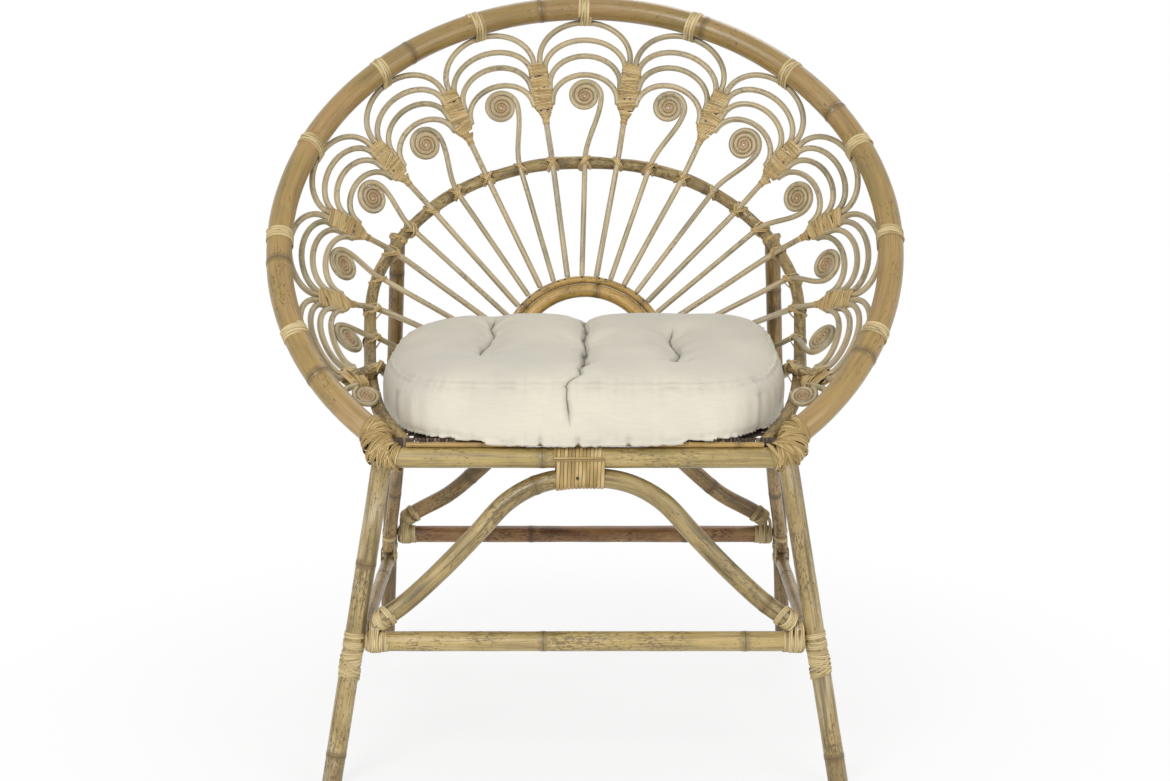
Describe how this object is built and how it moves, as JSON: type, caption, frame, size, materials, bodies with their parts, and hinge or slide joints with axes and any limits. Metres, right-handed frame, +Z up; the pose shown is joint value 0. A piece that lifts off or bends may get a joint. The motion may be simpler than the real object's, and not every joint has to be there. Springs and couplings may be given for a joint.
{
  "type": "peacock armchair",
  "caption": "Rattan peacock armchair with a round rim, a fan of ribs and scrolled rods, nested scallops, splayed legs, arched braces and a loose seat cushion.",
  "frame": {"origin": "on the floor under the middle of the chair's box", "axes": "+Z up, +X to the right as seen from the front, the front of the seat faces -Y"},
  "size_m": [0.8134, 0.5774, 0.9487],
  "materials": {
    "cane_pole": "satin varnish over golden rattan poles",
    "bark_pole": "natural bark, matt",
    "pale_rod": "satin, pale peeled rods",
    "orange_rod": "satin, orange brown",
    "red_pole": "satin, reddish brown",
    "cane_strip": "split cane, straw coloured",
    "dark_strand": "dark woven bark strands",
    "linen": "woven linen, off-white"
  },
  "bodies": {
    "root": {"rim_hoop": "cane_pole", "back_hoop": "bark_pole", "front_rail": "cane_pole", "front_liner": "orange_rod", "bent_rail": "bark_pole", "heart_ring_inner": "orange_rod", "heart_ring_outer": "orange_rod", "front_leg_left": "cane_pole", "rear_leg_left": "cane_pole", "front_leg_right": "cane_pole", "rear_leg_right": "cane_pole", "seat_rear_rail": "cane_pole", "front_stretcher": "cane_pole", "rear_stretcher": "red_pole", "front_brace": "cane_pole", "rear_brace": "cane_pole", "left_stretcher": "cane_pole", "left_brace": "cane_pole", "right_stretcher": "cane_pole", "right_brace": "cane_pole", "centre_binding": "cane_strip", "seat_deck": "dark_strand", "seat_cushion": "linen", "scallop_centre": "pale_rod", "scroll_rod_centre": "pale_rod", "scallop_left_1": "pale_rod", "scroll_rod_left_1": "pale_rod", "scallop_right_1": "pale_rod", "scroll_rod_right_1": "pale_rod", "scallop_left_2": "pale_rod", "scroll_rod_left_2": "pale_rod", "scallop_right_2": "pale_rod", "scroll_rod_right_2": "pale_rod", "scallop_left_3": "pale_rod", "scroll_rod_left_3": "pale_rod", "scallop_right_3": "pale_rod", "scroll_rod_right_3": "pale_rod", "scallop_left_4": "pale_rod", "scroll_rod_left_4": "pale_rod", "scallop_right_4": "pale_rod", "scroll_rod_right_4": "pale_rod", "scallop_left_5": "pale_rod", "scroll_rod_left_5": "pale_rod", "scallop_right_5": "pale_rod", "scroll_rod_right_5": "pale_rod", "scallop_left_6": "pale_rod", "scroll_rod_left_6": "pale_rod", "scallop_right_6": "pale_rod", "scroll_rod_right_6": "pale_rod", "rib_left_1": "pale_rod", "rib_right_1": "pale_rod", "rib_left_2": "pale_rod", "rib_right_2": "pale_rod", "rib_left_3": "pale_rod", "rib_right_3": "pale_rod", "rib_left_4": "pale_rod", "rib_right_4": "pale_rod", "rib_left_5": "pale_rod", "rib_right_5": "pale_rod"}
  },
  "joints": []
}
